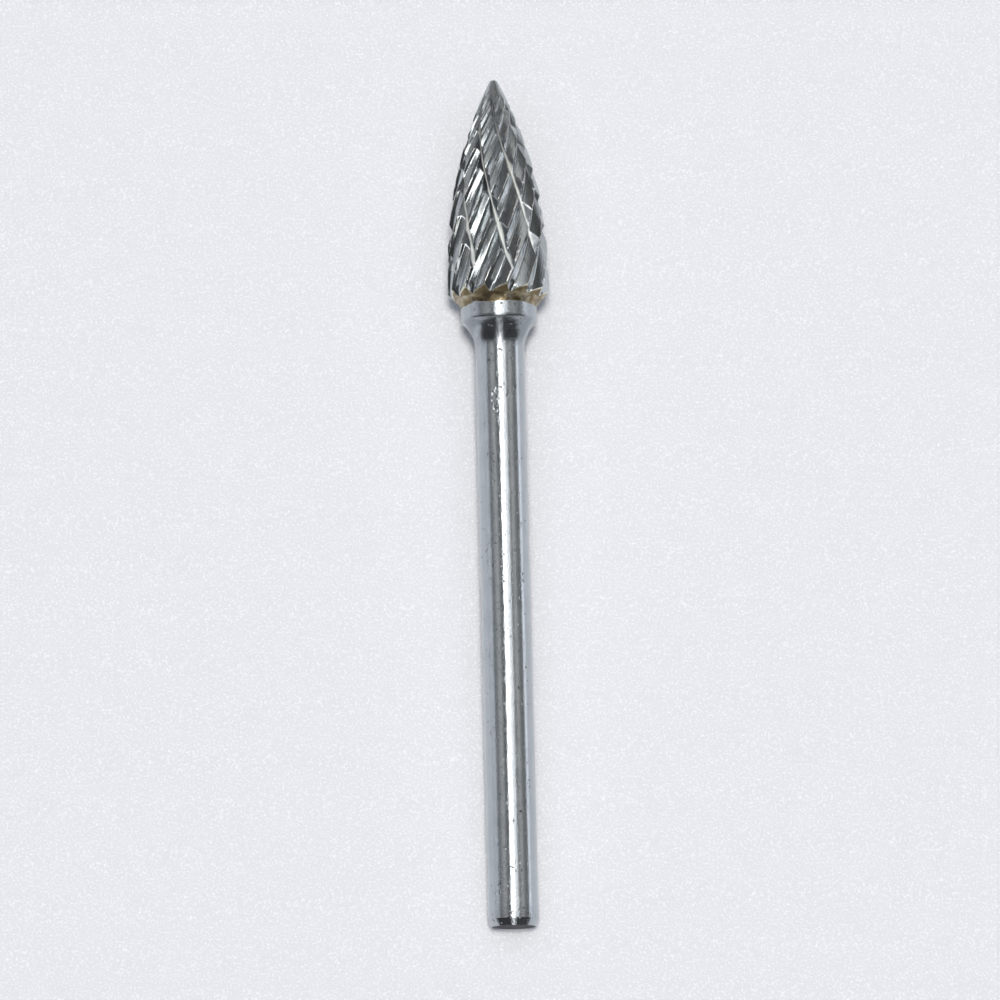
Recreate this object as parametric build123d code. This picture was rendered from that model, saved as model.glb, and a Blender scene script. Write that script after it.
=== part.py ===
from build123d import *
import math
import os

# Tungsten carbide rotary burr, pointed tree shape, double cut, for a 3 mm collet.
# The tool's axis is the Y axis: shank end face at Y = 0, cutting tip at +Y. Z is up.
# All dimensions are in millimetres.

# Steel shank
STEM_RADIUS = 1.5            # 3 mm collet size
STEM_END_CHAMFER = 0.2       # off the radius
STEM_END_CHAMFER_LENGTH = 0.4
STEM_TOP_Y = 35.15           # where the straight stem ends and the taper starts
COLLAR_BASE_Y = 36.83
COLLAR_RADIUS = 2.3
SPIGOT_RADIUS = 1.25
SPIGOT_LENGTH = 3.0
SPIGOT_CHAMFER = 0.15

# Braze joint
BRAZE_FILM = 0.1             # thickness around the spigot and over the shoulder
FILLET_OUTER_RADIUS = 2.6    # reach of the fillet on the head's base
FILLET_LEG = 0.35            # reach of the fillet down the collar
FILLET_SAG = 0.05            # hollow of the fillet below the straight line

# Carbide head
HEAD_BASE_Y = 38.2
HEAD_LENGTH = 13.85
HEAD_RADIUS = 3.1
OGIVE_LENGTH = 12.0          # from the tip to where the side becomes straight
TIP_RADIUS = 0.22            # flat at the very tip
BASE_CHAMFER = 0.46          # relief around the head's rear corner, off the radius
BASE_CHAMFER_LENGTH = 0.5

# Right-hand cutting flutes: steep rake face, sloping floor, long straight back
FLUTES = 14
FLUTE_HELIX = 24.0           # degrees
FLUTE_TURN_RADIUS = 0.7      # nearer the tip than this radius the helix turns no faster
FLUTE_DEPTH = 0.15           # of the local radius
FLUTE_PHASE = 6.0            # degrees round from +Z at the head's base
RAKE_FOOT = (0.11, 0.5)      # (share of the pitch, share of the depth)
FLUTE_FLOOR = (0.42, 1.0)
CREST_LAND = 0.04            # how far the crest lines stand outside the blank
FLUTE_FADE = (0.8, 2.2)      # distance from the tip where the flutes start and are full

# Left-hand chip-breaker grooves
GROOVES = 8
GROOVE_HELIX = 16.0          # degrees
GROOVE_TURN_RADIUS = 2.2     # nearer the tip than this radius the helix turns no faster
GROOVE_DEPTH = 0.15          # of the local radius
GROOVE_HALF_WIDTH = 0.105    # of the local radius
GROOVE_PHASE = 24.4          # degrees round from +Z at the head's base
GROOVE_FADE_TIP = (0.5, 1.6)
GROOVE_FADE_BASE = (11.5, 12.6)
PAD_CLEARANCE = 0.12         # of the local radius, between grooves, outside the blank

OVERRUN = 0.3                # cutters run past both ends of the head
STATIONS = 20                # stations along each helical edge

HEAD_TIP_Y = HEAD_BASE_Y + HEAD_LENGTH
SHOULDER_Y = HEAD_BASE_Y - BRAZE_FILM
SPIGOT_END_Y = SHOULDER_Y + SPIGOT_LENGTH
SOCKET_RADIUS = SPIGOT_RADIUS + BRAZE_FILM
SOCKET_FLOOR_Y = SPIGOT_END_Y + BRAZE_FILM
OGIVE_ARC_RADIUS = ((HEAD_RADIUS - TIP_RADIUS) ** 2 + OGIVE_LENGTH ** 2) / (
    2 * (HEAD_RADIUS - TIP_RADIUS)
)


def turned(edges):
    """Solid of revolution about the Y axis from a closed outline in the XY plane."""
    return revolve(make_face(edges), axis=Axis.Y, revolution_arc=360)


def blank_radius(from_tip):
    """Outside radius of the head's blank at a distance from its tip."""
    run = OGIVE_LENGTH - min(max(from_tip, 0.0), OGIVE_LENGTH)
    return HEAD_RADIUS - OGIVE_ARC_RADIUS + math.sqrt(OGIVE_ARC_RADIUS ** 2 - run ** 2)


def ramp(value, start, end):
    """0 before start, 1 after end, a straight line between them."""
    return min(max((value - start) / (end - start), 0.0), 1.0)


def stations():
    """Distances from the tip, from past the tip to past the base."""
    span = HEAD_LENGTH + 2 * OVERRUN
    return [span * i / (STATIONS - 1) - OVERRUN for i in range(STATIONS)]


def helix_turns(helix_degrees, least_radius):
    """Angle turned round the axis at each station, measured from the head's base."""
    slope = math.tan(math.radians(helix_degrees))
    steps = 400
    turned_so_far = []
    for station in stations():
        length = HEAD_LENGTH - station
        middle = [station + length * (i + 0.5) / steps for i in range(steps)]
        rates = [slope / max(blank_radius(s), least_radius) for s in middle]
        turned_so_far.append(sum(rates) * length / steps)
    return turned_so_far


def helical_edge(start_degrees, turns, radius_of):
    """Smooth edge through one point per station."""
    points = []
    for station, turn in zip(stations(), turns):
        angle = math.radians(start_degrees) + turn
        radius = radius_of(station)
        points.append(
            (radius * math.sin(angle), HEAD_TIP_Y - station, radius * math.cos(angle))
        )
    return Edge.make_spline(points)


def fluted_solid(edges):
    """Solid bounded by ruled strips between neighbouring helical edges and flat ends."""
    closed = edges + [edges[0]]
    sides = [Face.make_surface_from_curves(a, b) for a, b in zip(closed, closed[1:])]
    tip_end = Face(Wire.make_polygon([edge @ 0 for edge in edges], close=True))
    base_end = Face(Wire.make_polygon([edge @ 1 for edge in edges], close=True))
    return Solid(Shell(sides + [tip_end, base_end]))


def flute_envelope():
    """Fluted prism whose sides are the rakes, floors and backs of the cutting teeth."""
    turns = helix_turns(FLUTE_HELIX, FLUTE_TURN_RADIUS)
    pitch = 360.0 / FLUTES

    def radius_at_share(depth_share):
        def radius_of(station):
            blank = blank_radius(station)
            depth = FLUTE_DEPTH * blank * depth_share * ramp(station, *FLUTE_FADE)
            return blank + CREST_LAND + 0.25 * (1 - ramp(station, *FLUTE_FADE)) - depth
        return radius_of

    edges = []
    for tooth in range(FLUTES):
        crest = FLUTE_PHASE + tooth * pitch
        for share, depth_share in ((0.0, 0.0), RAKE_FOOT, FLUTE_FLOOR):
            start = crest + share * pitch
            edges.append(helical_edge(start, turns, radius_at_share(depth_share)))
    return fluted_solid(edges)


def groove_envelope():
    """Prism with one narrow V along each chip-breaker groove, clear of the blank between."""
    turns = [-turn for turn in helix_turns(GROOVE_HELIX, GROOVE_TURN_RADIUS)]
    pitch = 360.0 / GROOVES
    spread = (GROOVE_DEPTH + PAD_CLEARANCE) / GROOVE_DEPTH
    half_angle = math.degrees(GROOVE_HALF_WIDTH * spread)

    def pad_radius(station):
        return max(blank_radius(station) * (1 + PAD_CLEARANCE), blank_radius(station) + 0.08)

    def bottom_radius(station):
        kept = ramp(station, *GROOVE_FADE_TIP) * (1 - ramp(station, *GROOVE_FADE_BASE))
        blank = blank_radius(station)
        return blank + 0.05 - kept * (GROOVE_DEPTH * blank + 0.05)

    edges = []
    for groove in range(GROOVES):
        centre = GROOVE_PHASE + groove * pitch
        edges.append(helical_edge(centre - half_angle, turns, pad_radius))
        edges.append(helical_edge(centre, turns, bottom_radius))
        edges.append(helical_edge(centre + half_angle, turns, pad_radius))
    return fluted_solid(edges)


def head_blank():
    """Ground ogive with a relieved rear corner, before fluting."""
    straight_y = HEAD_TIP_Y - OGIVE_LENGTH
    half_run = OGIVE_LENGTH / 2
    middle = (blank_radius(half_run), HEAD_TIP_Y - half_run)
    outline = [
        Line((0, HEAD_BASE_Y), (HEAD_RADIUS - BASE_CHAMFER, HEAD_BASE_Y)),
        Line(
            (HEAD_RADIUS - BASE_CHAMFER, HEAD_BASE_Y),
            (HEAD_RADIUS, HEAD_BASE_Y + BASE_CHAMFER_LENGTH),
        ),
        Line((HEAD_RADIUS, HEAD_BASE_Y + BASE_CHAMFER_LENGTH), (HEAD_RADIUS, straight_y)),
        ThreePointArc((HEAD_RADIUS, straight_y), middle, (TIP_RADIUS, HEAD_TIP_Y)),
        Line((TIP_RADIUS, HEAD_TIP_Y), (0, HEAD_TIP_Y)),
        Line((0, HEAD_TIP_Y), (0, HEAD_BASE_Y)),
    ]
    return turned(outline)


def make_cutting_head():
    """Double-cut carbide head with a blind socket for the shank's spigot."""
    depth = SOCKET_FLOOR_Y - HEAD_BASE_Y
    socket = Pos(0, HEAD_BASE_Y + depth / 2, 0) * Rot(X=90) * Cylinder(SOCKET_RADIUS, depth)
    return head_blank() & flute_envelope() & groove_envelope() - socket


def make_braze_joint():
    """Filler metal: a film round the spigot and over the shoulder, and an outer fillet."""
    foot = (COLLAR_RADIUS, SHOULDER_Y - FILLET_LEG)
    toe = (FILLET_OUTER_RADIUS, HEAD_BASE_Y)
    hollow = ((foot[0] + toe[0]) / 2 - FILLET_SAG, (foot[1] + toe[1]) / 2 + FILLET_SAG)
    outline = [
        Line((0, SOCKET_FLOOR_Y), (SOCKET_RADIUS, SOCKET_FLOOR_Y)),
        Line((SOCKET_RADIUS, SOCKET_FLOOR_Y), (SOCKET_RADIUS, HEAD_BASE_Y)),
        Line((SOCKET_RADIUS, HEAD_BASE_Y), toe),
        ThreePointArc(toe, hollow, foot),
        Line(foot, (COLLAR_RADIUS, SHOULDER_Y)),
        Line((COLLAR_RADIUS, SHOULDER_Y), (SPIGOT_RADIUS, SHOULDER_Y)),
        Line((SPIGOT_RADIUS, SHOULDER_Y), (SPIGOT_RADIUS, SPIGOT_END_Y - SPIGOT_CHAMFER)),
        Line(
            (SPIGOT_RADIUS, SPIGOT_END_Y - SPIGOT_CHAMFER),
            (SPIGOT_RADIUS - SPIGOT_CHAMFER, SPIGOT_END_Y),
        ),
        Line((SPIGOT_RADIUS - SPIGOT_CHAMFER, SPIGOT_END_Y), (0, SPIGOT_END_Y)),
        Line((0, SPIGOT_END_Y), (0, SOCKET_FLOOR_Y)),
    ]
    return turned(outline)


def make_shank():
    """Turned steel shank: chamfered stem, hollow taper, collar, shoulder and spigot."""
    rise = COLLAR_RADIUS - STEM_RADIUS
    run = COLLAR_BASE_Y - STEM_TOP_Y
    arc_radius = (rise ** 2 + run ** 2) / (2 * rise)
    half_rise = arc_radius - math.sqrt(arc_radius ** 2 - (run / 2) ** 2)
    outline = [
        Line((0, 0), (STEM_RADIUS - STEM_END_CHAMFER, 0)),
        Line((STEM_RADIUS - STEM_END_CHAMFER, 0), (STEM_RADIUS, STEM_END_CHAMFER_LENGTH)),
        Line((STEM_RADIUS, STEM_END_CHAMFER_LENGTH), (STEM_RADIUS, STEM_TOP_Y)),
        ThreePointArc(
            (STEM_RADIUS, STEM_TOP_Y),
            (STEM_RADIUS + half_rise, STEM_TOP_Y + run / 2),
            (COLLAR_RADIUS, COLLAR_BASE_Y),
        ),
        Line((COLLAR_RADIUS, COLLAR_BASE_Y), (COLLAR_RADIUS, SHOULDER_Y)),
        Line((COLLAR_RADIUS, SHOULDER_Y), (SPIGOT_RADIUS, SHOULDER_Y)),
        Line((SPIGOT_RADIUS, SHOULDER_Y), (SPIGOT_RADIUS, SPIGOT_END_Y - SPIGOT_CHAMFER)),
        Line(
            (SPIGOT_RADIUS, SPIGOT_END_Y - SPIGOT_CHAMFER),
            (SPIGOT_RADIUS - SPIGOT_CHAMFER, SPIGOT_END_Y),
        ),
        Line((SPIGOT_RADIUS - SPIGOT_CHAMFER, SPIGOT_END_Y), (0, SPIGOT_END_Y)),
        Line((0, SPIGOT_END_Y), (0, 0)),
    ]
    return turned(outline)


os.makedirs("parts", exist_ok=True)
export_step(make_cutting_head(), "parts/cutting_head.step", write_pcurves=False)
export_step(make_braze_joint(), "parts/braze_joint.step")
export_step(make_shank(), "parts/shank.step")
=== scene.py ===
import math

import bmesh
import bpy
import numpy as np
from mathutils import Matrix, Vector, noise


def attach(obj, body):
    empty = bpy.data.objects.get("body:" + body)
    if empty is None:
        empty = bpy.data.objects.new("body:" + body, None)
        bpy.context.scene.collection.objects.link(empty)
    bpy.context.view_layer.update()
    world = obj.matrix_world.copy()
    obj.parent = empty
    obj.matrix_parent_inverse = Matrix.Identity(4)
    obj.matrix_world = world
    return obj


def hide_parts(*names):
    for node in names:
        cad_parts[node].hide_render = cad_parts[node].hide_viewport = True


# Lengths are in mm and become metres where an object is made. The lamps are in metres.
MM = 0.001
TURN = 2 * math.pi

# Camera: the tool's tail is nearer the camera than its tip.
VIEW_ELEVATION = math.radians(79.5)
VIEW_DISTANCE = 284.7
VIEW_ROLL = math.radians(1.384)
VIEW_TARGET_Y = 25.85
VIEW_TARGET_LEFT = 0.212
LENS_MM = 169.4

# Steel shank
STEM_RADIUS = 1.5
STEM_END_RADIUS = 1.3
STEM_END_CHAMFER_LENGTH = 0.42
STEM_END_ROUND = 0.02
STEM_MESH_START = 1.2        # the stem's mesh lines are even from here on
STEM_MESH_LENGTH = 33.5
STEM_MESH_STEPS = 24
STEM_TOP_Y = 35.168
TAPER_ARC = 2.12             # radius of the hollow between stem and collar
TAPER_STEEPEST = math.radians(49.0)
TAPER_STEPS = 28
COLLAR_BASE_Y = 36.83
COLLAR_RADIUS = 2.3
COLLAR_ROUND = 0.012
SPIGOT_RADIUS = 1.25
SPIGOT_END_Y = 41.1
SPIGOT_CHAMFER = 0.15
SHOULDER_Y = 38.1

NICKS_X = -0.33              # a cluster of nicks on the stem's upper side
NICKS_Y = 31.8
NICKS_REACH = (0.3, 0.85)

# Braze
FILLET_TOE_RADIUS = 2.6
FILLET_FOOT_Y = 37.76
FILLET_SAG = 0.05
FILLER_SKIN = 0.015          # thickness where the filler thins out on the collar
FILLER_LUMP = 0.035
FILLER_WAVE = 0.13           # of the line where the filler ends on the collar
FILLER_RIPPLE = 0.05

# Carbide head; distances called s run from its tip
HEAD_TIP_Y = 52.05
HEAD_BASE_Y = 38.2
HEAD_LENGTH = HEAD_TIP_Y - HEAD_BASE_Y
HEAD_RADIUS = 3.1
OGIVE_LENGTH = 12.0
TIP_RADIUS = 0.22
TIP_CAP_SHARE = 0.6          # of the tip radius, where its flat starts
CONE_LENGTH = 0.5            # relief around the rear corner
CONE_DROP = 0.46             # off the radius
# Rings down the relief cone: (share of the way, heat stain)
CONE_RINGS = ((0.05, 0.45), (0.2, 0.45), (0.35, 1.0), (0.7, 1.0), (1.0, 1.0))
SOCKET_RADIUS = 1.35
SOCKET_FLOOR_Y = 41.2
OGIVE_ARC = ((HEAD_RADIUS - TIP_RADIUS) ** 2 + OGIVE_LENGTH ** 2) / (
    2 * (HEAD_RADIUS - TIP_RADIUS)
)

FLUTES = 14
FLUTE_HELIX = 24.0
FLUTE_TURN_RADIUS = 0.7      # nearer the tip than this radius the helix turns no faster
FLUTE_PHASE = math.radians(6.0)
FLUTE_DEPTH = 0.15           # of the local radius
FLUTE_FADE = (0.8, 2.2)      # where the flutes start and where they are full
FLUTE_RISE = (9.8, 13.3)     # where the flutes become shallower towards the rear
FLUTE_RISE_SHARE = 0.33
RUNOUT_LENGTH = 0.64         # where the flute floors fall away towards the rear
RUNOUT_SLOPE = 0.25
RUNOUT_CENTRE = 0.29         # of the pitch
RUNOUT_HALF_WIDTH = 0.27     # of the pitch
GROOVES = 8
GROOVE_HELIX = 16.0
GROOVE_TURN_RADIUS = 2.2     # the same for the grooves
GROOVE_PHASE = math.radians(24.4)
GROOVE_DEPTH = 0.168         # of the local radius
GROOVE_HALF_WIDTH = 0.118    # of the local radius
GROOVE_ROUND = 0.26          # of the half width, how rounded its bottom is
GROOVE_FADE_TIP = (0.5, 1.6)       # where the grooves start and where they are full
GROOVE_FADE_BASE = (11.4, 12.7)    # where they begin to run out and where they end

# Places (x, y, z) where a groove's bottom is worn wider, and its painted highlight is wider too
WORN_HIGHLIGHT_PLACES = ((1.36, 46.3, 2.24), (1.98, 40.0, 2.3))
WORN_HIGHLIGHT_REACH = 0.55
WORN_HIGHLIGHT_GAIN = 1.7
GROOVE_HIGHLIGHT_SHARE = 0.38            # usual width of the painted highlight along a groove's bottom, of the groove's width

TOOTH_WAVE = 0.006           # unevenness of the flutes, from tooth to tooth
CHIP_DEPTH = 0.075           # of the nicks along the cutting crests

# One cutting tooth from crest to crest: (share of the pitch, share of the depth)
TOOTH_PROFILE = (
    (0.0, 0.0), (0.03, 0.06), (0.10, 0.46), (0.12, 0.53), (0.25, 0.75), (0.38, 0.95),
    (0.42, 0.99), (0.45, 1.0), (0.49, 0.97), (0.52, 0.91), (0.70, 0.56), (0.90, 0.17),
    (0.98, 0.015), (1.0, 0.0),
)
# Where the mesh has its lines within a tooth, and how many it has to a groove
TOOTH_LINES = (
    0.0, 0.012, 0.03, 0.06, 0.10, 0.12, 0.18, 0.25, 0.32, 0.38, 0.42, 0.45,
    0.49, 0.52, 0.61, 0.70, 0.80, 0.90, 0.98,
)
GROOVE_LINES = 44
GROOVE_LINE_BEND = 1.25      # over 1 brings them together at the groove's bottom
CONE_CLEARANCE = 0.004       # between the last mesh lines and the relief cone

# Carbide colours
CARBIDE_DARK = (0.39, 0.425, 0.44, 1)
CARBIDE_LIGHT = (0.56, 0.605, 0.63, 1)
CARBIDE_SCRATCH = (0.50, 0.515, 0.51, 1)
CARBIDE_PATCH = (0.42, 0.39, 0.33, 1)
CREST_COLOUR = (0.66, 0.66, 0.63, 1)
# Painted shade on the groove walls
GROOVE_WALL_SHADE = (0.21, 0.225, 0.24, 1)
# Painted highlight along the groove bottoms, dim near the tip and bright towards the base: (share
# of the way from tip to base, colour)
GROOVE_HIGHLIGHT_COLOURS = (
    (0.2, (0.3, 0.3, 0.29)), (0.45, (0.72, 0.73, 0.68)), (1, (0.95, 0.98, 0.95)),
)
CONE_LIP_COLOUR = (0.72, 0.69, 0.58, 1)
CONE_COLOURS = (
    (0.3, (0.10, 0.075, 0.04)), (0.5, (0.27, 0.215, 0.12)), (0.7, (0.58, 0.53, 0.40)),
)

# Steel colours
STEEL_DARK = (0.445, 0.475, 0.50, 1)
STEEL_LIGHT = (0.49, 0.52, 0.545, 1)
PIT_COLOUR = (0.26, 0.26, 0.25, 1)
# Painted shade on the taper, in blotches
TAPER_SHADE_COLOUR = (0.30, 0.325, 0.345, 1)
# Near-black colour of the tail's end face
END_FACE = (0.05, 0.052, 0.057, 1)

BRAZE_COLOURS = (
    (0.3, (0.10, 0.075, 0.045)), (0.5, (0.30, 0.24, 0.14)), (0.7, (0.66, 0.62, 0.50)),
)

# Table
TABLE_HALF_SIZE = 1500.0
TABLE_GAP = 0.005            # under the tool
TABLE_FADE = (120 * MM, 500 * MM)    # how far away it turns into the backdrop
FLOOR_DARK = (0.724, 0.731, 0.743, 1)
FLOOR_LIGHT = (0.748, 0.75, 0.762, 1)
FLOOR_SPECK = (0.94, 0.94, 0.957, 1)
BACKDROP = (0.80, 0.83, 0.87, 1)

# Light round the tool's axis: (degrees from straight up towards +X, brightness, warmth)
ROOM_BANDS = (
    (-180, 0.78, -1), (-74, 0.78, -1), (-73, 0.95, -1), (-68, 0.9, -1), (-66, 0.3, -1),
    (-55, 0.3, -1), (-42, 0.6, 0.3), (-29, 0.62, 0.3), (-23, 0.23, 0), (-7, 0.16, 0),
    (-6, 3.4, 0.3), (4, 3.4, 0.3), (5, 1.7, 0), (24, 1.7, 0), (26, 0.3, 0), (33, 0.3, 0),
    (38, 0.64, 0.3), (50, 0.6, 0.3), (58, 0.3, 0), (79, 0.25, 0), (81, 1.6, -1), (90, 1.6, -1),
    (93, 0.78, -1), (180, 0.78, -1),
)
# The same in front of the tool, towards -Y
FRONT_BANDS = (
    (-180, 0.09, -1), (-66, 0.07, -1), (-6, 0.07, 0), (-3, 1.9, 0), (7, 1.9, 0), (10, 0.1, 0),
    (22, 0.07, 0), (86, 0.09, 0), (180, 0.09, -1),
)
FRONT_BLEND = (-0.06, 0.06)  # where the front takes over, as the Y of a direction
FAR_BLEND = (0.27, 0.42)     # where the far end darkens
ROOM_FAR = 0.3               # brightness towards +Y, relative to the bands

# Lamps, in metres. The strip is seen in reflections only.
STRIP_RADIANCE = 3.3
STRIP_WIDTH = 0.21
STRIP_LENGTH = 1.05
STRIP_PLACE = (-0.021, 0.225, 1.2)
# Light for matt surfaces only: (name, width, height, radiance, colour)
KEY_LIGHT = ("key", 0.3, 1.5, 72.0, (1.0, 0.965, 0.935))
AMBIENT_LIGHT = ("ambient", 3.0, 1.5, 0.83, (0.88, 0.97, 1.12))
LIGHT_X = 0.03
LIGHT_Y = 0.06


class Nodes:
    """Adds and links the nodes of one shader tree."""

    def __init__(self, tree):
        self.tree = tree

    def put(self, socket, value):
        if isinstance(value, bpy.types.NodeSocket):
            self.tree.links.new(value, socket)
        else:
            socket.default_value = value

    def add(self, kind, inputs=None, output=0, **settings):
        node = self.tree.nodes.new(kind)
        for name, value in settings.items():
            setattr(node, name, value)
        for key, value in (inputs or {}).items():
            self.put(node.inputs[key], value)
        return node.outputs[output]

    def math(self, operation, a, b=0.0):
        return self.add("ShaderNodeMath", {0: a, 1: b}, operation=operation)

    def noise(self, vector, scale, detail=3.0, roughness=0.5):
        inputs = {"Vector": vector, "Scale": scale, "Detail": detail, "Roughness": roughness}
        return self.add("ShaderNodeTexNoise", inputs)

    def rise(self, value, low, high):
        """0 below low, 1 above high."""
        inputs = {"Value": value, "From Min": low, "From Max": high}
        return self.add("ShaderNodeMapRange", inputs)

    def scale_to(self, value, low, high, least, most):
        inputs = {
            "Value": value, "From Min": low, "From Max": high,
            "To Min": least, "To Max": most,
        }
        return self.add("ShaderNodeMapRange", inputs)

    def blend(self, factor, a, b):
        """Colour a where the factor is 0, b where it is 1."""
        inputs = {0: factor, 6: a, 7: b}
        return self.add("ShaderNodeMix", inputs, output=2, data_type="RGBA")

    def ramp(self, value, stops):
        """Colour ramp from (place, grey or colour) stops."""
        node = self.tree.nodes.new("ShaderNodeValToRGB")
        self.put(node.inputs[0], value)
        points = node.color_ramp.elements
        while len(points) < len(stops):
            points.new(1.0)
        for point, (place, colour) in zip(points, stops):
            point.position = place
            point.color = (*colour, 1)
        return node.outputs[0]

    def bump(self, height, distance, normal=None, strength=1.0):
        inputs = {"Height": height, "Distance": distance, "Strength": strength}
        if normal is not None:
            inputs["Normal"] = normal
        return self.add("ShaderNodeBump", inputs)

    def attribute(self, name, output="Fac"):
        """A value that store() keeps at the vertices."""
        return self.add("ShaderNodeAttribute", output=output, attribute_name=name)

    def axes(self, vector):
        """A vector's X, Y and Z."""
        node = self.tree.nodes.new("ShaderNodeSeparateXYZ")
        self.put(node.inputs[0], vector)
        return node.outputs


def new_finish(name, metallic=1.0):
    """A material, its node helper and its shader's inputs."""
    material = bpy.data.materials.new(name)
    material.use_nodes = True
    tree = material.node_tree
    shader = tree.nodes["Principled BSDF"]
    shader.inputs["Metallic"].default_value = metallic
    return material, Nodes(tree), shader.inputs


def blank_radius(s):
    """Outside radius of the head's blank at s from its tip."""
    run = OGIVE_LENGTH - np.clip(s, 0.0, OGIVE_LENGTH)
    return HEAD_RADIUS - OGIVE_ARC + np.sqrt(OGIVE_ARC ** 2 - run ** 2)


def share_of(value, start, end):
    """How much of the way from start to end the value has gone, from 0 to 1."""
    return np.clip((value - start) / (end - start), 0.0, 1.0)


def turn_table(helix_degrees, least_radius):
    """Angle a helix has turned at each s of S_TABLE, measured from the base."""
    slope = math.tan(math.radians(helix_degrees))
    rate = slope / np.maximum(blank_radius(S_TABLE), least_radius)
    steps = (rate[1:] + rate[:-1]) * 0.5 * np.diff(S_TABLE)
    total = np.concatenate([[0.0], np.cumsum(steps)])
    return total[-1] - total


S_TABLE = np.linspace(0.0, HEAD_LENGTH, 2001)
FLUTE_TURN = turn_table(FLUTE_HELIX, FLUTE_TURN_RADIUS)
GROOVE_TURN = turn_table(GROOVE_HELIX, GROOVE_TURN_RADIUS)


def past_first_groove(s, theta):
    """Angle past the line of the first chip-breaker groove."""
    return theta - GROOVE_PHASE + np.interp(s, S_TABLE, GROOVE_TURN)


def groove_offset(s, theta):
    """Signed angle from the nearest chip-breaker groove's line."""
    pitch = TURN / GROOVES
    phase = past_first_groove(s, theta) / pitch
    return (phase - np.round(phase)) * pitch


def head_surface(s, line):
    """The surface at s along a flute line.

    Gives its angle, radius, offset from a groove, share of the tooth's pitch, and how far
    the flute stands out past the groove.
    """
    theta = line + FLUTE_PHASE + np.interp(s, S_TABLE, FLUTE_TURN)
    blank = blank_radius(s)
    share = (line * FLUTES / TURN) % 1.0
    profile = np.interp(share, *zip(*TOOTH_PROFILE))
    depth = share_of(s, *FLUTE_FADE) * (1 - FLUTE_RISE_SHARE * share_of(s, *FLUTE_RISE))
    flute = blank * (1 - FLUTE_DEPTH * profile * depth)
    dome = np.clip((share - RUNOUT_CENTRE) / RUNOUT_HALF_WIDTH, -1, 1) ** 2
    flute = flute - RUNOUT_SLOPE * np.maximum(0, s - HEAD_LENGTH + RUNOUT_LENGTH * (1 - dome))

    offset = groove_offset(s, theta)
    kept = share_of(s, *GROOVE_FADE_TIP) * (1 - share_of(s, *GROOVE_FADE_BASE))
    side = np.abs(offset) / GROOVE_HALF_WIDTH
    rounded = np.sqrt(side ** 2 + GROOVE_ROUND ** 2) - GROOVE_ROUND
    groove = blank * (1 - GROOVE_DEPTH * kept + GROOVE_DEPTH * rounded)
    return theta, np.minimum(flute, groove), offset, share, flute - groove


def flute_line_ends(lines):
    """Where each flute line meets the relief cone at the rear."""
    s = np.linspace(HEAD_LENGTH - CONE_LENGTH - 0.1, HEAD_LENGTH - 0.01, 400)
    ends = []
    for line in lines:
        radius = head_surface(s, line)[1]
        outside = radius > cone_radius(s)
        ends.append(s[np.argmax(outside)] if outside.any() else s[-1])
    return np.array(ends)


def cone_radius(s):
    """Radius of the relief cone round the rear corner."""
    return HEAD_RADIUS - CONE_DROP * (s - HEAD_LENGTH + CONE_LENGTH) / CONE_LENGTH


def groove_lines():
    """Mesh lines that follow the grooves, closest together at each groove's bottom."""
    offsets = np.linspace(-1.0, 1.0, GROOVE_LINES, endpoint=False)
    bend = np.sign(offsets) * np.abs(offsets) ** GROOVE_LINE_BEND / 2
    return np.concatenate([(g + bend) * TURN / GROOVES for g in range(GROOVES)])


def head_lattice():
    """Grid of mesh lines along both helices: s, line and vertex number, and the quads."""
    lines = np.array([(t + share) * TURN / FLUTES for t in range(FLUTES) for share in TOOTH_LINES])
    ends = flute_line_ends(lines)
    across = groove_lines()
    spread = FLUTE_TURN + GROOVE_TURN
    shift = GROOVE_PHASE - FLUTE_PHASE
    turns = 2 + int((spread[0] + abs(shift)) / TURN)
    cross = np.concatenate([across + TURN * k for k in range(-1, turns + 1)])
    wanted = cross[None, :] - lines[:, None] + shift
    s = np.interp(wanted, spread[::-1], S_TABLE[::-1])
    at_tip = wanted >= spread[0]
    at_base = s >= ends[:, None] - CONE_CLEARANCE
    inside = ~(at_tip | at_base)

    count = len(lines)
    number = np.full(s.shape, -1)
    number[inside] = np.arange(inside.sum()) + 2 * count
    own = np.arange(count)[:, None] + np.zeros_like(number)
    number[at_tip] = own[at_tip]
    number[at_base] = own[at_base] + count
    vertex_s = np.concatenate([np.zeros(count), ends, s[inside]])
    vertex_line = np.concatenate([lines, lines, (lines[:, None] + 0 * s)[inside]])

    later = np.full((1, number.shape[1]), count)
    later[0, len(across):] = number[0, :-len(across)]
    table = np.concatenate([number, later])
    faces = []
    for a, b, c, d in zip(
        table[:-1, :-1].ravel(), table[1:, :-1].ravel(),
        table[1:, 1:].ravel(), table[:-1, 1:].ravel(),
    ):
        corners = list(dict.fromkeys((int(a), int(b), int(c), int(d))))
        if len(corners) >= 3:
            faces.append(corners)
    return vertex_s, vertex_line, faces, count


def ring_faces(first, second):
    """Quads between two rings of vertex numbers."""
    n = len(first)
    return [[first[i], first[(i + 1) % n], second[(i + 1) % n], second[i]] for i in range(n)]


def chip_depth(point, share):
    """Depth of the small nicks along a cutting crest."""
    near_crest = 1 - share / 0.07 if share < 0.5 else 1 - (1 - share) / 0.09
    if near_crest <= 0.0:
        return 0.0
    nick = noise.noise(point * 2.6) + 0.5 * noise.noise(point * 7.0)
    return CHIP_DEPTH * near_crest * max(0.0, nick - 0.18)


def groove_highlight_and_wear(point):
    """How wide the painted highlight along a groove's bottom is here, wider where it is worn,
    relative to the usual.
    """
    wear = 1.0 + 0.9 * noise.noise(point * 1.1)
    for place in WORN_HIGHLIGHT_PLACES:
        wear += WORN_HIGHLIGHT_GAIN * math.exp(-(((point - Vector(place)).length / WORN_HIGHLIGHT_REACH) ** 2))
    return wear


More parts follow.
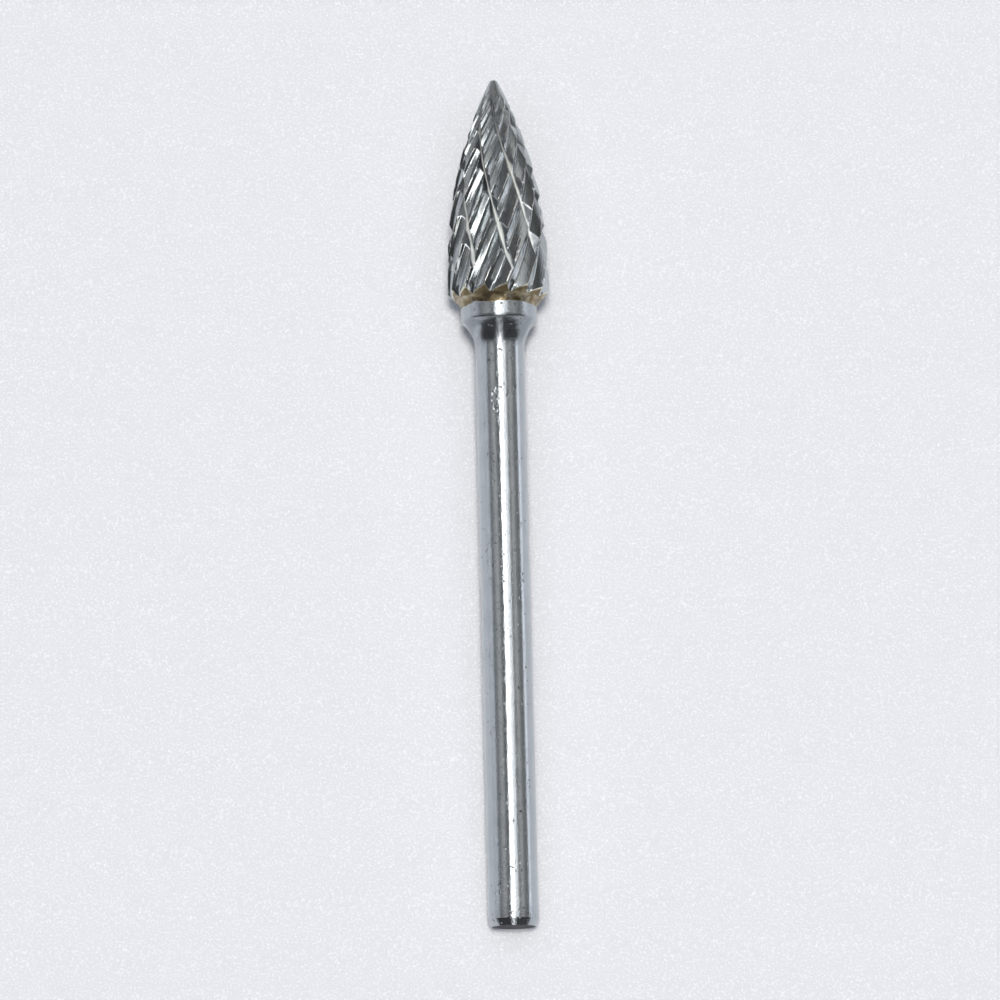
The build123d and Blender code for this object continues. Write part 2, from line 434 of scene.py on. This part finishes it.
def head_values(s, line, surface, points):
    """What the finish needs at each vertex of the head."""
    theta, _, offset, share, below = surface
    # A groove's pale bottom is a painted highlight. It is wider where the groove is worn.
    highlight_and_wear = np.array([groove_highlight_and_wear(point) for point in points])
    painted_highlight = share_of(GROOVE_HALF_WIDTH * GROOVE_HIGHLIGHT_SHARE * highlight_and_wear - np.abs(offset), 0, 0.02)
    tooth = np.floor(line * FLUTES / TURN)
    groove = np.round(past_first_groove(s, theta) * GROOVES / TURN)
    grain = np.stack(
        [HEAD_RADIUS * np.sin(line), 0.035 * s, HEAD_RADIUS * np.cos(line)], axis=1
    )
    return {
        "grain": grain,
        # groove: where the painted highlight lies along a groove's bottom
        "groove": painted_highlight * share_of(below, -0.03, -0.01),
        "crest": np.maximum(1 - share / 0.05, 1 - (1 - share) / 0.06).clip(0, 1),
        # wall: inside a groove, where painted shade darkens the walls
        "wall": share_of(below, 0.0, 0.03),
        "cell": np.stack([tooth, groove, 0 * s], axis=1),
        "down": s / HEAD_LENGTH,
        "stain": 0 * s,
    }


def chip_crests(points, radius, s, share, first):
    """Moves the vertices from number first on towards the axis where a crest is nicked."""
    for i in range(first, len(points)):
        fade = min(1.0, float(s[i]) / 4)
        depth = fade * chip_depth(points[i], float(share[i]))
        if depth > 0:
            points[i].x *= 1 - depth / radius[i]
            points[i].z *= 1 - depth / radius[i]


class HeadMesh:
    """Vertices in mm, faces, and the values that the finish needs at each vertex."""

    def __init__(self, points, faces, values):
        self.points = points
        self.faces = faces
        self.values = values

    def add_ring(self, radii, angles, heights, like, stain):
        """A ring of vertices with the values of earlier ones, and more stain."""
        start = len(self.points)
        for radius, angle, y in np.broadcast(radii, angles, heights):
            self.points.append(Vector((radius * math.sin(angle), y, radius * math.cos(angle))))
        for name, values in self.values.items():
            extra = values[like] + stain if name == "stain" else values[like]
            self.values[name] = np.concatenate([values, extra])
        return list(range(start, len(self.points)))

    def close(self, ring, y):
        """Fan from a ring to a vertex on the axis."""
        centre = len(self.points)
        self.points.append(Vector((0, y, 0)))
        self.faces += [[a, b, centre] for a, b in zip(ring, ring[1:] + ring[:1])]
        for name, values in self.values.items():
            self.values[name] = np.concatenate([values, values[-1:]])


def close_rear(head, rim, radii, angles, ends):
    """The relief cone, the rear face and the socket."""
    cone_end = cone_radius(HEAD_LENGTH)
    ring = list(range(rim.start, rim.stop))
    steps = []
    for part, stain in CONE_RINGS:
        heights = HEAD_TIP_Y - (ends + (HEAD_LENGTH - ends) * part)
        steps.append((radii + (cone_end - radii) * part, heights, stain))
    steps.append((SOCKET_RADIUS, HEAD_BASE_Y, 1.0))
    steps.append((SOCKET_RADIUS, SOCKET_FLOOR_Y, 1.0))
    for ring_radii, heights, stain in steps:
        new_ring = head.add_ring(ring_radii, angles, heights, rim, stain)
        head.faces += ring_faces(ring, new_ring)
        ring = new_ring
    head.close(ring, SOCKET_FLOOR_Y)


def build_head():
    """The whole head: first its cut surface, then the rear and the flat of the tip."""
    s, line, faces, count = head_lattice()
    surface = head_surface(s, line)
    theta, radius, offset, share, _ = surface
    tooth_wave = np.sin(np.floor(line * FLUTES / TURN) * 2.4) + np.sin(offset * 3 + s * 1.1)
    radius = radius + TOOTH_WAVE * tooth_wave * share_of(s, 1.0, 3.0) * (share > 0.12)
    places = np.stack([radius * np.sin(theta), HEAD_TIP_Y - s, radius * np.cos(theta)], axis=1)
    points = [Vector(place) for place in places]
    chip_crests(points, radius, s, share, 2 * count)
    head = HeadMesh(points, faces, head_values(s, line, surface, points))

    tip = slice(0, count)
    rim = slice(count, 2 * count)
    close_rear(head, rim, radius[rim], theta[rim], s[rim])
    cap = head.add_ring(TIP_RADIUS * TIP_CAP_SHARE, theta[tip], HEAD_TIP_Y + 0.008, tip, 0.0)
    head.faces += ring_faces(cap, list(range(count)))
    head.close(cap, HEAD_TIP_Y + 0.01)
    return head


def make_piece(name, points, faces, material, slot, node, sharp_degrees=30.0):
    """Mesh object in metres that rides on the tool's one body."""
    mesh = bpy.data.meshes.new(name)
    mesh.from_pydata([Vector(p) * MM for p in points], [], faces)
    made = bmesh.new()
    made.from_mesh(mesh)
    bmesh.ops.recalc_face_normals(made, faces=made.faces)
    made.to_mesh(mesh)
    made.free()
    mesh.shade_smooth()
    mesh.set_sharp_from_angle(angle=math.radians(sharp_degrees))
    mesh.materials.append(material)
    piece = bpy.data.objects.new(name, mesh)
    bpy.context.scene.collection.objects.link(piece)
    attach(piece, "root")
    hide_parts(node)
    return piece


def store(piece, data):
    """Keeps values at the vertices for the finish to read."""
    for name, values in data.items():
        kind = "FLOAT_VECTOR" if values.ndim == 2 else "FLOAT"
        layer = piece.data.attributes.new(name, kind, "POINT")
        key = "vector" if values.ndim == 2 else "value"
        layer.data.foreach_set(key, values.astype(np.float32).ravel())


def lathe(outline, columns, uneven=None):
    """Points and faces of an outline turned about Y. It starts and ends on the axis."""
    points = [Vector((0, outline[0][1], 0)), Vector((0, outline[-1][1], 0))]
    faces = []
    rings = []
    for radius, y in outline[1:-1]:
        start = len(points)
        for i in range(columns):
            angle = TURN * i / columns
            r, height = uneven(radius, y, angle) if uneven else (radius, y)
            points.append(Vector((r * math.sin(angle), height, r * math.cos(angle))))
        rings.append(list(range(start, start + columns)))
    for a, b in zip(rings, rings[1:]):
        faces += ring_faces(a, b)
    for i in range(columns):
        j = (i + 1) % columns
        faces.append([0, rings[0][j], rings[0][i]])
        faces.append([1, rings[-1][i], rings[-1][j]])
    return points, faces


def arc_between(start, end, sag, steps):
    """Points of a curve from start to end, bowed by sag to the left of the way."""
    (r0, y0), (r1, y1) = start, end
    length = math.hypot(r1 - r0, y1 - y0)
    side = (-(y1 - y0) / length, (r1 - r0) / length)
    points = []
    for i in range(steps + 1):
        t = i / steps
        bow = 4 * sag * t * (1 - t)
        points.append((r0 + (r1 - r0) * t + side[0] * bow, y0 + (y1 - y0) * t + side[1] * bow))
    return points


def taper_outline():
    """Hollow taper: an arc tangent to the stem, then a short cone up to the collar."""
    points = []
    for i in range(TAPER_STEPS + 1):
        slope = TAPER_STEEPEST * i / TAPER_STEPS
        radius = STEM_RADIUS + TAPER_ARC * (1 - math.cos(slope))
        points.append((radius, STEM_TOP_Y + TAPER_ARC * math.sin(slope)))
    return points


def spigot_outline():
    """The hidden spigot, from the shoulder to its chamfered end."""
    return [
        (SPIGOT_RADIUS, SHOULDER_Y), (SPIGOT_RADIUS, SPIGOT_END_Y - SPIGOT_CHAMFER),
        (SPIGOT_RADIUS - SPIGOT_CHAMFER, SPIGOT_END_Y), (0, SPIGOT_END_Y),
    ]


def shank_outline():
    """The turned shank from its tail to the spigot. Points close to an edge round it off."""
    outline = [(0, 0), (STEM_END_RADIUS * 0.5, 0), (STEM_END_RADIUS - STEM_END_ROUND, 0)]
    outline += [(STEM_END_RADIUS, 0.3 * STEM_END_ROUND), (STEM_END_RADIUS + 0.006, STEM_END_ROUND)]
    outline += [(STEM_RADIUS - 0.012, STEM_END_CHAMFER_LENGTH - 0.035)]
    outline += [(STEM_RADIUS - 0.003, STEM_END_CHAMFER_LENGTH)]
    outline += [(STEM_RADIUS, STEM_END_CHAMFER_LENGTH + 0.05)]
    for i in range(STEM_MESH_STEPS + 1):
        outline.append((STEM_RADIUS, STEM_MESH_START + STEM_MESH_LENGTH * i / STEM_MESH_STEPS))
    outline += taper_outline()
    outline += [(COLLAR_RADIUS - COLLAR_ROUND, COLLAR_BASE_Y - COLLAR_ROUND)]
    outline += [(COLLAR_RADIUS, COLLAR_BASE_Y + 0.02)]
    outline += [(COLLAR_RADIUS, COLLAR_BASE_Y + 0.25 + 0.2 * i) for i in range(6)]
    outline += [(COLLAR_RADIUS, SHOULDER_Y)]
    return outline + spigot_outline()


def braze_outline():
    """Socket filling and fillet outside, then the film on the shoulder and the spigot inside."""
    toe = (FILLET_TOE_RADIUS, HEAD_BASE_Y)
    foot = (COLLAR_RADIUS + FILLER_SKIN, FILLET_FOOT_Y)
    outline = [(0, SOCKET_FLOOR_Y), (SOCKET_RADIUS, SOCKET_FLOOR_Y), (SOCKET_RADIUS, HEAD_BASE_Y)]
    outline += arc_between(toe, foot, -FILLET_SAG, 16)
    outline += [(COLLAR_RADIUS + 0.5 * FILLER_SKIN, FILLET_FOOT_Y - 0.03)]
    outline += [(COLLAR_RADIUS - 0.005, FILLET_FOOT_Y - 0.035)]
    outline += [(COLLAR_RADIUS - 0.005, SHOULDER_Y)]
    return outline + spigot_outline()


def filler_shape(radius, y, angle):
    """Lumps of the braze, and the wavy line where it ends on the collar."""
    if radius < COLLAR_RADIUS - 0.01 or y > HEAD_BASE_Y - 0.001:
        return radius, y
    east, up = math.sin(angle), math.cos(angle)
    place = Vector((east * COLLAR_RADIUS, y, up * COLLAR_RADIUS))
    lump = noise.noise(place * 1.7) + 0.5 * noise.noise(place * 5.0 + Vector((3, 1, 4)))
    down = share_of(y, HEAD_BASE_Y, FILLET_FOOT_Y)
    wave = FILLER_WAVE * noise.noise(Vector((east, 7.0, up)) * 2.2)
    wave += FILLER_RIPPLE * noise.noise(Vector((east, 3.0, up)) * 9.0)
    least = COLLAR_RADIUS + 0.4 * FILLER_SKIN
    if radius > least:
        radius = max(least, radius + FILLER_LUMP * lump * (1 - down ** 4))
    return radius, y - wave * float(down)


def carbide_finish():
    """Ground carbide: streaks along the flutes, worn crests, heat stain at the rear, painted shade
    on the groove walls and a painted highlight along the groove bottoms.
    """
    material, nodes, shader = new_finish("tungsten_carbide")
    grain = nodes.attribute("grain", "Vector")
    cell = nodes.attribute("cell", "Vector")
    # Where the groove bottoms carry a painted highlight
    groove = nodes.attribute("groove")
    crest = nodes.attribute("crest")
    stain = nodes.attribute("stain")
    wall = nodes.attribute("wall")
    place = nodes.add("ShaderNodeTexCoord", output="Object")
    tone = nodes.add("ShaderNodeTexWhiteNoise", {"Vector": cell}, noise_dimensions="3D")
    streak = nodes.noise(grain, 5.0, 4.0, 0.6)
    fine = nodes.noise(grain, 22.0, 3.0, 0.6)
    patch = nodes.noise(place, 1100.0, 4.0, 0.6)

    colour = nodes.blend(tone, CARBIDE_DARK, CARBIDE_LIGHT)
    colour = nodes.blend(nodes.rise(fine, 0.4, 0.75), colour, CARBIDE_SCRATCH)
    colour = nodes.blend(nodes.rise(patch, 0.62, 0.74), colour, CARBIDE_PATCH)
    colour = nodes.blend(crest, colour, CREST_COLOUR)
    # Painted shade: the groove walls darker
    colour = nodes.blend(wall, colour, GROOVE_WALL_SHADE)
    # Painted highlight along the groove bottoms, brighter towards the base
    colour = nodes.blend(groove, colour, nodes.ramp(nodes.attribute("down"), GROOVE_HIGHLIGHT_COLOURS))
    colour = nodes.blend(nodes.rise(stain, 0.1, 0.4), colour, CONE_LIP_COLOUR)
    colour = nodes.blend(nodes.rise(stain, 0.5, 0.8), colour, nodes.ramp(patch, CONE_COLOURS))
    nodes.put(shader["Base Color"], colour)

    # The painted highlight is less metallic, so that it lights up pale
    nodes.put(shader["Metallic"], nodes.scale_to(groove, 0.0, 1.0, 1.0, 0.6))
    rough = nodes.scale_to(streak, 0.3, 0.7, 0.12, 0.2)
    for share, extra in ((wall, 0.14), (groove, 0.18), (crest, 0.12), (stain, 0.25)):
        rough = nodes.math("ADD", rough, nodes.math("MULTIPLY", share, extra))
    nodes.put(shader["Roughness"], rough)

    relief = nodes.bump(streak, 0.012 * MM)
    relief = nodes.bump(fine, 0.006 * MM, relief)
    nodes.put(shader["Normal"], nodes.bump(patch, 0.02 * MM, relief, 0.4))
    return material


def near(nodes, value, centre, reach):
    """1 at the centre and 0 from reach away, both in mm."""
    off = nodes.math("ABSOLUTE", nodes.math("SUBTRACT", value, centre * MM))
    return nodes.scale_to(off, 0.3 * reach * MM, reach * MM, 1.0, 0.0)


def stem_nicks(nodes, place, axes):
    """Slanted gouges in one small area on the stem's upper side."""
    across = near(nodes, axes["X"], NICKS_X, NICKS_REACH[0])
    along = near(nodes, axes["Y"], NICKS_Y, NICKS_REACH[1])
    area = nodes.math("MULTIPLY", across, along)
    area = nodes.math("MULTIPLY", area, nodes.rise(axes["Z"], 0.0, MM))
    slanted = nodes.add(
        "ShaderNodeMapping", {"Vector": place, "Rotation": (0, 0, 0.3), "Scale": (1, 0.3, 1)}
    )
    gouges = nodes.rise(nodes.noise(slanted, 5200.0, 1.0), 0.47, 0.62)
    return nodes.math("MULTIPLY", area, gouges)


def steel_finish():
    """Ground steel with a faint grain, small pits, a taper with blotchy relief and painted shade
    in blotches, and one cluster of nicks.
    """
    material, nodes, shader = new_finish("shank_steel")
    place = nodes.add("ShaderNodeTexCoord", output="Object")
    grain = nodes.noise(place, 11000.0, 2.0, 0.5)
    cloud = nodes.noise(place, 900.0, 3.0, 0.5)
    pits = nodes.noise(place, 4200.0, 1.0, 0.4)
    axes = nodes.axes(place)
    collar = nodes.rise(axes["Y"], (STEM_TOP_Y - 0.3) * MM, (STEM_TOP_Y + 0.6) * MM)
    below_collar = nodes.scale_to(
        axes["Y"], (COLLAR_BASE_Y - 0.1) * MM, (COLLAR_BASE_Y + 0.1) * MM, 1.0, 0.3
    )
    taper = nodes.math("MULTIPLY", collar, below_collar)
    # Painted shade: the taper darkened in blotches
    taper_shade = nodes.math("MULTIPLY", taper, nodes.rise(cloud, 0.38, 0.55))
    # The tail's end face is coloured near black and made rougher.
    end_face = nodes.scale_to(axes["Y"], 0.0, 0.02 * MM, 1.0, 0.0)

    colour = nodes.blend(nodes.rise(cloud, 0.35, 0.65), STEEL_DARK, STEEL_LIGHT)
    colour = nodes.blend(nodes.rise(pits, 0.72, 0.80), colour, PIT_COLOUR)
    colour = nodes.blend(taper_shade, colour, TAPER_SHADE_COLOUR)
    nodes.put(shader["Base Color"], nodes.blend(end_face, colour, END_FACE))

    rough = nodes.scale_to(cloud, 0.3, 0.7, 0.08, 0.14)
    rough = nodes.math("ADD", rough, nodes.math("MULTIPLY", end_face, 0.5))
    nodes.put(shader["Roughness"], nodes.math("ADD", rough, nodes.math("MULTIPLY", collar, 0.1)))

    relief = nodes.bump(grain, 0.0105 * MM)
    relief = nodes.bump(cloud, 0.04 * MM, relief, nodes.scale_to(collar, 0.0, 1.0, 0.05, 0.8))
    relief = nodes.bump(nodes.rise(pits, 0.68, 0.80), -0.02 * MM, relief)
    nicks = stem_nicks(nodes, place, axes)
    nodes.put(shader["Normal"], nodes.bump(nicks, -0.05 * MM, relief))
    return material


def braze_finish():
    """Dull golden-brown filler with dark heat stains and brighter lumps."""
    material, nodes, shader = new_finish("braze_filler")
    place = nodes.add("ShaderNodeTexCoord", output="Object")
    patch = nodes.noise(place, 1300.0, 4.0, 0.6)
    lumps = nodes.noise(place, 3200.0, 3.0, 0.5)
    nodes.put(shader["Base Color"], nodes.ramp(patch, BRAZE_COLOURS))
    nodes.put(shader["Roughness"], nodes.scale_to(lumps, 0.3, 0.7, 0.25, 0.5))
    nodes.put(shader["Normal"], nodes.bump(lumps, 0.06 * MM))
    return material


def table_finish():
    """Matt pale board with a fine sparkle, which fades into the backdrop far away."""
    material, nodes, shader = new_finish("table_board", metallic=0.0)
    place = nodes.add("ShaderNodeTexCoord", output="Object")
    speck = nodes.noise(place, 8000.0, 2.0, 0.6)
    cloud = nodes.noise(place, 900.0, 3.0, 0.6)
    colour = nodes.blend(nodes.rise(cloud, 0.3, 0.7), FLOOR_DARK, FLOOR_LIGHT)
    colour = nodes.blend(nodes.rise(speck, 0.5, 0.74), colour, FLOOR_SPECK)
    nodes.put(shader["Base Color"], colour)
    shader["Roughness"].default_value = 0.75
    shader["Specular IOR Level"].default_value = 0.2

    away = nodes.add("ShaderNodeVectorMath", {0: place}, output="Value", operation="LENGTH")
    surface = nodes.tree.nodes["Principled BSDF"].outputs["BSDF"]
    glow = nodes.add("ShaderNodeEmission", {"Color": BACKDROP})
    faded = nodes.rise(away, *TABLE_FADE)
    mixed = nodes.add("ShaderNodeMixShader", {0: faded, 1: surface, 2: glow})
    nodes.put(nodes.tree.nodes["Material Output"].inputs["Surface"], mixed)
    return material


def make_stage():
    """Board that the tool's tail and its widest cutting edge rest on."""
    mesh = bpy.data.meshes.new("table_top")
    half = TABLE_HALF_SIZE
    tail_y = STEM_END_CHAMFER_LENGTH
    head_y = HEAD_BASE_Y + CONE_LENGTH
    slope = (STEM_RADIUS - HEAD_RADIUS) / (head_y - tail_y)
    corners = [
        (sx * half, sy * half, -STEM_RADIUS - TABLE_GAP + slope * (sy * half - tail_y))
        for sx, sy in ((-1, -1), (1, -1), (1, 1), (-1, 1))
    ]
    mesh.from_pydata([Vector(corner) * MM for corner in corners], [], [(0, 1, 2, 3)])
    mesh.materials.append(table_finish())
    table = bpy.data.objects.new("table_top", mesh)
    bpy.context.scene.collection.objects.link(table)


def make_camera():
    """Looks down steeply at the tool, slightly rolled, through a long lens."""
    scene = bpy.context.scene
    camera = bpy.data.objects.new("camera", bpy.data.cameras.new("camera"))
    scene.collection.objects.link(camera)
    scene.camera = camera
    camera.data.lens = LENS_MM
    camera.data.sensor_width = 36.0
    camera.data.clip_start = 0.01
    camera.data.clip_end = 20.0
    back = Vector((0, -math.cos(VIEW_ELEVATION), math.sin(VIEW_ELEVATION)))
    level_up = Vector((0, math.sin(VIEW_ELEVATION), math.cos(VIEW_ELEVATION)))
    level_right = Vector((1, 0, 0))
    up = level_up * math.cos(VIEW_ROLL) + level_right * math.sin(VIEW_ROLL)
    right = level_right * math.cos(VIEW_ROLL) - level_up * math.sin(VIEW_ROLL)
    target = Vector((0, VIEW_TARGET_Y, 0)) - right * VIEW_TARGET_LEFT
    place = (target + back * VIEW_DISTANCE) * MM
    camera.matrix_world = Matrix(
        (
            (right.x, up.x, back.x, place.x),
            (right.y, up.y, back.y, place.y),
            (right.z, up.z, back.z, place.z),
            (0, 0, 0, 1),
        )
    )


def band_stops(bands):
    """Colour ramp stops for bands of light, a full turn from 0 to 1."""
    return [
        ((degrees + 180) / 360, (level * (1 + 0.02 * warm), level, level * (1 - 0.06 * warm)))
        for degrees, level, warm in bands
    ]


def make_room():
    """World light in bands round the tool's axis, dark in front and plain to the camera."""
    world = bpy.data.worlds.new("studio")
    bpy.context.scene.world = world
    world.use_nodes = True
    world.cycles_visibility.diffuse = False
    nodes = Nodes(world.node_tree)
    way = nodes.add("ShaderNodeTexCoord", output="Generated")
    axes = nodes.axes(way)
    angle = nodes.math("ARCTAN2", axes["X"], axes["Z"])
    turned = nodes.scale_to(angle, -math.pi, math.pi, 0.0, 1.0)
    over = nodes.ramp(turned, band_stops(ROOM_BANDS))
    front = nodes.ramp(turned, band_stops(FRONT_BANDS))
    far = nodes.scale_to(axes["Y"], *FAR_BLEND, 1.0, ROOM_FAR)
    over = nodes.blend(far, (0, 0, 0, 1), over)
    light = nodes.blend(nodes.rise(axes["Y"], *FRONT_BLEND), front, over)
    seen = nodes.add("ShaderNodeLightPath", output="Is Camera Ray")
    background = world.node_tree.nodes["Background"].inputs
    nodes.put(background["Color"], nodes.blend(seen, light, BACKDROP))


def make_lights():
    """A strip for the reflections, and two disks for the table. Power is radiance x pi x area."""
    lamp = bpy.data.lights.new("strip", "AREA")
    lamp.shape = "RECTANGLE"
    lamp.size = STRIP_WIDTH
    lamp.size_y = STRIP_LENGTH
    lamp.energy = STRIP_RADIANCE * math.pi * lamp.size * lamp.size_y
    strip = bpy.data.objects.new("strip", lamp)
    strip.location = STRIP_PLACE
    strip.visible_camera = False
    strip.visible_diffuse = False
    bpy.context.scene.collection.objects.link(strip)

    for name, width, height, radiance, colour in (KEY_LIGHT, AMBIENT_LIGHT):
        lamp = bpy.data.lights.new(name, "AREA")
        lamp.shape = "DISK"
        lamp.size = width
        lamp.energy = radiance * math.pi * math.pi * (width / 2) ** 2
        lamp.color = colour
        light = bpy.data.objects.new(name, lamp)
        light.location = (LIGHT_X, LIGHT_Y, height)
        light.visible_camera = False
        light.visible_glossy = False
        bpy.context.scene.collection.objects.link(light)


def make_tool():
    """The three brazed pieces, each in place of its CAD node."""
    head = build_head()
    piece = make_piece(
        "burr_head", head.points, head.faces, carbide_finish(), "tungsten_carbide", "cutting_head"
    )
    store(piece, head.values)
    make_piece(
        "shank_body", *lathe(shank_outline(), 192), steel_finish(), "shank_steel", "shank"
    )
    make_piece(
        "braze_fillet", *lathe(braze_outline(), 240, filler_shape), braze_finish(),
        "braze_filler", "braze_joint",
    )


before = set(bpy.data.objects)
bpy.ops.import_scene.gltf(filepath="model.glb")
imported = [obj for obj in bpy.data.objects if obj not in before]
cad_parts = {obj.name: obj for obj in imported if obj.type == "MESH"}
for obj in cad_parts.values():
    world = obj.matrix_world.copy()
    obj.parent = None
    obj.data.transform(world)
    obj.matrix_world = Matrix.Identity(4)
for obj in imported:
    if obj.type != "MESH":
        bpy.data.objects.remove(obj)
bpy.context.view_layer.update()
make_tool()
make_camera()
make_stage()
make_room()
make_lights()
bpy.context.scene.view_settings.view_transform = "Standard"
